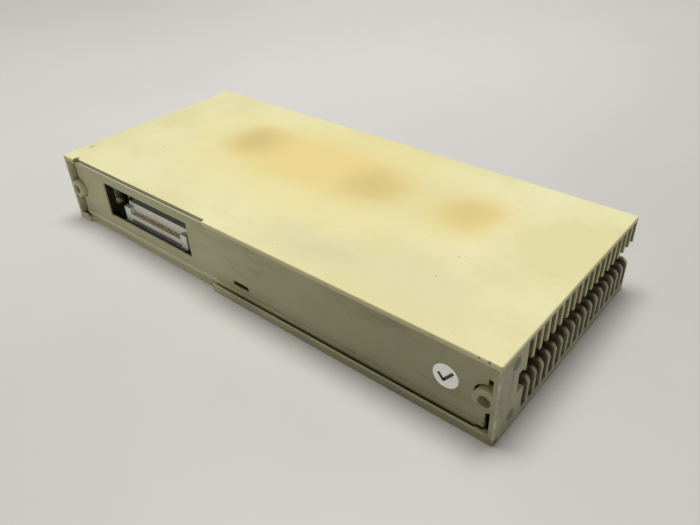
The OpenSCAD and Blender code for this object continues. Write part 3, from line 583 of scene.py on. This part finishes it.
def upper_shade(tree, where, colour):
    """Painted shade on the cut edge beside the connector and on the rear edge, specks with a painted shade at
    the cut edge's left corner, then the painted shade inside.
    """
    apart = add(tree, "SeparateXYZ", {0: where})
    facing = add(tree, "SeparateXYZ", {0: add(tree, "TexCoord").outputs["Normal"]})
    # painted shade on the cut edge beside the connector
    cut = product(tree, span(tree, facing.outputs["Y"], -0.4, -0.8),
                  within(tree, apart.outputs["X"], *CUT_EDGE_X, STRIP_SOFT),
                  within(tree, apart.outputs["Y"], *CUT_EDGE_Y, STRIP_SOFT),
                  span(tree, apart.outputs["Z"], 0.0358, 0.0352),
                  span(tree, noise(tree, where, 120.0, 3.0), 0.3, 0.6, 0.65, 1.0))
    colour = blend_colours(tree, calc(tree, "MULTIPLY", cut, 0.72), colour, rgba(TONES["cut edge"]))
    # painted shade on the rear-facing edge of the top plate
    painted_shade = calc(tree, "MULTIPLY", span(tree, facing.outputs["Y"], *FACES_REAR),
                  span(tree, apart.outputs["Y"], *PLATE_Y))
    colour = blend_colours(tree, painted_shade, colour, rgba(TONES["plate shade"]), "MULTIPLY")
    colour = marks(tree, where, colour, [(*spot, TONES[tone]) for *spot, tone in TOP_MARKS])
    return shell_shade(tree, where, colour)


def rear_shade(tree, where, colour):
    """Greyer plastic, patchy dirt and painted shade low down and towards the right, smears, and a painted
    shade on the rear-facing wall, most at the right.
    """
    look = bpy.context.scene.module_case
    apart = add(tree, "SeparateXYZ", {0: where})
    low = span(tree, apart.outputs["Z"], *WALL_LOW)
    patch = span(tree, noise(tree, where, 34.0, 5.0, 0.65), 0.3, 0.72, 0.45, 1.0)
    right = span(tree, apart.outputs["X"], *WALL_RIGHT)
    rear = span(tree, apart.outputs["Y"], *WALL_Y)
    # dirt and painted shade: darker low down and towards the right, in patches
    amount = calc(tree, "MULTIPLY", calc(tree, "ADD", calc(tree, "MULTIPLY", low, 0.16),
                                         calc(tree, "MULTIPLY", right, 0.26)), patch)
    colour = blend_colours(tree, calc(tree, "MULTIPLY", rear, 0.5), colour, rgba(TONES["rear plastic"]))
    colour = blend_colours(tree, calc(tree, "MULTIPLY", amount, rear), colour, rgba(look.grime_and_shade, 1.4))
    smear = noise(tree, stretched(tree, where, (22.0, 60.0, 95.0), (0.0, 0.25, 0.0)), 1.0, 6.0, 0.72)
    smear = product(tree, span(tree, smear, 0.5, 0.66), rear, span(tree, right, 0.0, 1.0, 0.18, 0.42))
    colour = blend_colours(tree, smear, colour, rgba(TONES["rear smear"]))
    facing = add(tree, "SeparateXYZ", {0: add(tree, "TexCoord").outputs["Normal"]}).outputs["Y"]
    # painted shade on the rear-facing faces of the wall, more towards the right
    painted_shade = calc(tree, "MULTIPLY", rear, span(tree, facing, *FACES_REAR))
    colour = blend_colours(tree, painted_shade, colour, rgba(TONES["wall shade"]), "MULTIPLY")
    painted_shade = calc(tree, "MULTIPLY", painted_shade, right)
    return blend_colours(tree, painted_shade, colour, rgba(TONES["right wall shade"]), "MULTIPLY")


def lower_shade(tree, where, colour):
    """A painted highlight and a painted shade on the lip, dirt and painted shade in its groove, painted shade
    and dirt streaks on the ends with moulding marks, a worn corner with a painted highlight, darker low rear
    corners, then the painted shade inside.
    """
    look = bpy.context.scene.module_case
    colour = rear_shade(tree, where, colour)
    apart = add(tree, "SeparateXYZ", {0: where})
    rear = span(tree, apart.outputs["Y"], *LIP_Y)
    # painted highlight on the lip and the strip above it, fading out towards the right
    low = product(tree, rear, span(tree, apart.outputs["Z"], 0.0061, 0.0056))
    low = calc(tree, "MULTIPLY", low, span(tree, apart.outputs["X"], -0.05, 0.03, 0.22, 0.0))
    colour = blend_colours(tree, low, colour, rgba(TONES["lip"]))
    # painted shade on the lip
    lip = calc(tree, "MULTIPLY", rear, span(tree, apart.outputs["Z"], 0.0038, 0.0033))
    colour = blend_colours(tree, lip, colour, rgba(TONES["lip shade"]), "MULTIPLY")
    # dirt and painted shade in the groove
    groove = product(tree, within(tree, apart.outputs["Y"], *GROOVE_Y, STRIP_SOFT),
                     within(tree, apart.outputs["Z"], *GROOVE_Z, 2.0 * STRIP_SOFT),
                     span(tree, apart.outputs["X"], -0.03, 0.05, 0.15, 0.9),
                     span(tree, noise(tree, where, 60.0, 4.0), 0.3, 0.6, 0.5, 0.9))
    colour = blend_colours(tree, groove, colour, rgba(look.grime_and_shade, 0.5))
    sideways = calc(tree, "ABSOLUTE", apart.outputs["X"])
    ends = span(tree, sideways, *END_FACE)
    # painted shade on the end faces
    colour = blend_colours(tree, calc(tree, "MULTIPLY", ends, 0.52), colour, rgba(TONES["end face"]))
    streak = noise(tree, stretched(tree, where, (60.0, 190.0, 45.0), (0.35, 0.0, 0.0)), 1.0, 6.0, 0.75)
    streak = product(tree, ends, span(tree, streak, 0.5, 0.68, 0.0, 0.5))
    colour = blend_colours(tree, streak, colour, rgba(TONES["end streak"]))
    # wear and a painted highlight along the near rear corners
    worn = product(tree, span(tree, sideways, *END_OUTER),
                   span(tree, apart.outputs["Y"], -0.0544, -0.0549),
                   span(tree, noise(tree, where, 240.0, 4.0, 0.7), 0.4, 0.62))
    colour = blend_colours(tree, calc(tree, "MULTIPLY", worn, 0.6), colour, rgba(TONES["worn and lit corner"]))
    end = CAD_BOX[1][0] - 0.0002
    spots = [((side * end, MARK_Y, height), MARK_RADIUS, 0.0006, 0.72, TONES["moulding mark"])
             for side in (-1, 1) for height in MARK_HEIGHTS]
    # darker marks at the low rear corners
    spots.append(((end, -0.0548, 0.0), 0.0034, 0.003, 0.8, look.grime_and_shade))
    spots.append(((-end, -0.0548, 0.0), 0.0024, 0.003, 0.6, look.grime_and_shade))
    colour = marks(tree, where, colour, spots)
    return shell_shade(tree, where, colour)


def panel_shade(tree, where, colour):
    """A painted shade behind the panel's outer face and a painted highlight along its top edge."""
    look = bpy.context.scene.module_case
    colour = rear_shade(tree, where, colour)
    apart = add(tree, "SeparateXYZ", {0: where})
    # painted highlight along the panel's top edge
    rim = product(tree, within(tree, apart.outputs["X"], *PANEL_RIM_X, 1.5 * STRIP_SOFT),
                  within(tree, apart.outputs["Z"], *PANEL_RIM_Z, STRIP_SOFT))
    colour = blend_colours(tree, calc(tree, "MULTIPLY", rim, 0.85), colour, rgba(TONES["panel rim"]))
    # painted shade behind the panel's outer face
    return blend_colours(tree, span(tree, apart.outputs["Y"], *PANEL_BACK_Y), colour, rgba(look.inside_shade))


class ModuleCase(bpy.types.Operator):
    """Gives the two shells, the rear panel, the bezel and the cover their aged plastic, with painted shade
    and highlights on the shells and the panel
    """
    bl_idname = "module.case"
    bl_label = "Case"

    def execute(self, context):
        look = context.scene.module_case
        stains = [(*stain, getattr(look, setting)) for *stain, setting in STAINS]
        for node, name, dirt, extra in (
                ("upper_shell", "upper_shell_plastic", 0.22, {"stains": stains, "shade": upper_shade}),
                ("lower_shell", "lower_shell_plastic", 0.4, {"shade": lower_shade}),
                ("rear_panel", "rear_panel_plastic", 0.45, {"shade": panel_shade}),
                ("front_bezel", "bezel_plastic", 0.3, {}),
                ("terminal_cover", "cover_plastic", 0.3, {"rough": 0.42})):
            wear(node, case_plastic(name, look.fresh, look.aged, dirt, **extra))
        return {"FINISHED"}


class ModuleConnector(bpy.types.Operator):
    """Finishes the backplane connector and its contacts"""
    bl_idname = "module.connector"
    bl_label = "Backplane connector"

    def execute(self, context):
        wear("backplane_connector", plain_plastic("connector_plastic", (0.77, 0.76, 0.65), 0.45, patch=0.05))
        gold = plated_metal("contact_gold", (0.72, 0.47, 0.16), 0.32, (0.34, 0.20, 0.07))
        wear("connector_contacts", gold)
        wear("header_pins", gold)
        return {"FINISHED"}


class ModuleLabel(bpy.types.Operator):
    """Finishes the round label and prints a plain tick on it"""
    bl_idname = "module.label"
    bl_label = "Round label"

    def execute(self, context):
        look = context.scene.module_label
        material, tree, bsdf, where = finish_tree("label_paper", look.paper, 0.7)
        fibre = noise(tree, where, 900.0, 4.0, 0.7)
        patch = span(tree, fibre, 0.3, 0.7)
        tone = blend_colours(tree, patch, rgba(look.paper, 0.94), rgba(look.paper, 1.03))
        tree.links.new(tone, bsdf.inputs["Base Color"])
        bump(tree, bsdf, fibre, 0.00002)
        wear("round_label", material)
        low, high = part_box("round_label")
        centre = (low + high) / 2
        ink, tree, bsdf, where = finish_tree("label_ink", look.ink, 0.5)
        worn = span(tree, noise(tree, where, 1400.0, 3.0, 0.7), 0.45, 0.75, 0.0, 0.5)
        tree.links.new(blend_colours(tree, worn, rgba(look.ink), rgba(look.paper, 0.4)),
                       bsdf.inputs["Base Color"])
        face = low.y - TICK_THICK / 2
        bm = bmesh.new()
        for start, end in TICK:
            a, b = Vector((start[0], 0, start[1])), Vector((end[0], 0, end[1]))
            length = (b - a).length + look.stroke * 0.5
            bar = bmesh.ops.create_cube(bm, size=1.0)["verts"]
            bmesh.ops.scale(bm, vec=(length, TICK_THICK, look.stroke), verts=bar)
            turn = Matrix.Rotation(-math.atan2((b - a).z, (b - a).x), 3, "Y")
            bmesh.ops.rotate(bm, cent=(0, 0, 0), matrix=turn, verts=bar)
            bmesh.ops.translate(bm, vec=(a + b) / 2 + Vector((centre.x, face, centre.z)), verts=bar)
        piece("label_tick", bm, ink, "case")
        return {"FINISHED"}


class ModuleBoards(bpy.types.Operator):
    """Finishes the two circuit boards"""
    bl_idname = "module.boards"
    bl_label = "Circuit boards"

    def execute(self, context):
        resist, track = (0.05, 0.13, 0.03), (0.10, 0.22, 0.05)
        material, tree, bsdf, where = finish_tree("board_resist", resist, 0.38)
        tracks = add(tree, "TexBrick", {"Vector": where, "Scale": 190.0, "Mortar Size": 0.09,
                                        "Mortar Smooth": 0.3})
        patch = span(tree, noise(tree, where, 38.0, 2.0), 0.42, 0.55)
        line = calc(tree, "MULTIPLY", tracks.outputs["Fac"], patch)
        tree.links.new(blend_colours(tree, line, rgba(resist), rgba(track)), bsdf.inputs["Base Color"])
        bump(tree, bsdf, line, 0.00003)
        for node in ("main_board", "indicator_board"):
            wear(node, material)
        return {"FINISHED"}


class ModuleParts(bpy.types.Operator):
    """Finishes the parts on the boards"""
    bl_idname = "module.parts"
    bl_label = "Electronic parts"

    def execute(self, context):
        zinc = plated_metal("zinc_plate", (0.62, 0.62, 0.60), 0.35, (0.36, 0.34, 0.28))
        tin = plated_metal("tin_plate", (0.68, 0.68, 0.65), 0.3, (0.40, 0.39, 0.35))
        resin = plain_plastic("black_resin", (0.03, 0.03, 0.032), 0.5)
        for node in ("case_screws", "board_screws", "transistor_screws", "terminal_screws",
                     "block_screw_left", "block_screw_right"):
            wear(node, zinc)
        for node in ("transistor_legs", "chip_legs", "fuse_caps", "fuse_clips"):
            wear(node, tin)
        for node in ("power_transistors", "driver_chips", "bus_chip"):
            wear(node, resin)
        wear("heat_sinks", plated_metal("sink_metal", (0.50, 0.51, 0.52), 0.42, (0.30, 0.30, 0.30)))
        wear("power_capacitors", plain_plastic("capacitor_sleeve", (0.03, 0.035, 0.06), 0.28))
        wear("film_capacitors", plain_plastic("film_dip", (0.36, 0.10, 0.035), 0.25))
        wear("optocouplers", plain_plastic("white_resin", (0.72, 0.70, 0.62), 0.5))
        wear("terminal_plates", plated_metal("nickel_plate", (0.64, 0.61, 0.54), 0.34, (0.40, 0.36, 0.28)))
        wear("block_nuts", plated_metal("brass_nut", (0.66, 0.48, 0.20), 0.36, (0.35, 0.24, 0.10)))
        black = plain_plastic("black_plastic", (0.035, 0.037, 0.037), 0.45)
        wear("terminal_block", black)
        wear("terminal_header", black)
        wear("indicator_lamps", plain_plastic("lamp_tint", (0.62, 0.05, 0.03), 0.2))
        glass, tree, bsdf, where = finish_tree("fuse_tube", (0.86, 0.90, 0.90), 0.06,
                                               Transmission_Weight=1.0, IOR=1.45)
        haze = span(tree, noise(tree, where, 300.0, 3.0), 0.4, 0.7, 0.04, 0.16)
        tree.links.new(haze, bsdf.inputs["Roughness"])
        wear("fuse_glass", glass)
        window = plain_plastic("window_plastic", (0.50, 0.36, 0.32), 0.12, Transmission_Weight=0.85)
        wear("indicator_window", window)
        return {"FINISHED"}


class ModulePanel(bpy.types.Panel):
    """Shows the module's settings and buttons for its operators"""
    bl_idname = "VIEW3D_PT_rack_module"
    bl_label = "Rack Module"
    bl_space_type = "VIEW_3D"
    bl_region_type = "UI"
    bl_category = "Rack Module"

    def draw(self, context):
        layout = self.layout
        for group_name in ("module_case", "module_label", "module_stage"):
            settings = getattr(context.scene, group_name)
            for key in settings.__annotations__:
                layout.prop(settings, key)
        for operator in OPERATORS:
            layout.operator(operator.bl_idname)


SETTINGS = {"module_case": ModuleCaseSettings, "module_label": ModuleLabelSettings,
            "module_stage": ModuleStageSettings}
OPERATORS = (ModuleStage, ModuleCase, ModuleConnector, ModuleLabel, ModuleBoards, ModuleParts)


def register():
    """Registers the classes and the settings."""
    for cls in (*SETTINGS.values(), *OPERATORS, ModulePanel):
        bpy.utils.register_class(cls)
    for name, cls in SETTINGS.items():
        setattr(bpy.types.Scene, name, bpy.props.PointerProperty(type=cls))


def unregister():
    """Takes back what register() did."""
    for name in SETTINGS:
        delattr(bpy.types.Scene, name)
    for cls in (ModulePanel, *reversed(OPERATORS), *reversed(list(SETTINGS.values()))):
        bpy.utils.unregister_class(cls)


def main():
    """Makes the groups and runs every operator."""
    register()
    build_groups()
    for operator in OPERATORS:
        space, name = operator.bl_idname.split(".")
        getattr(getattr(bpy.ops, space), name)()


if __name__ == "__main__":
    main()
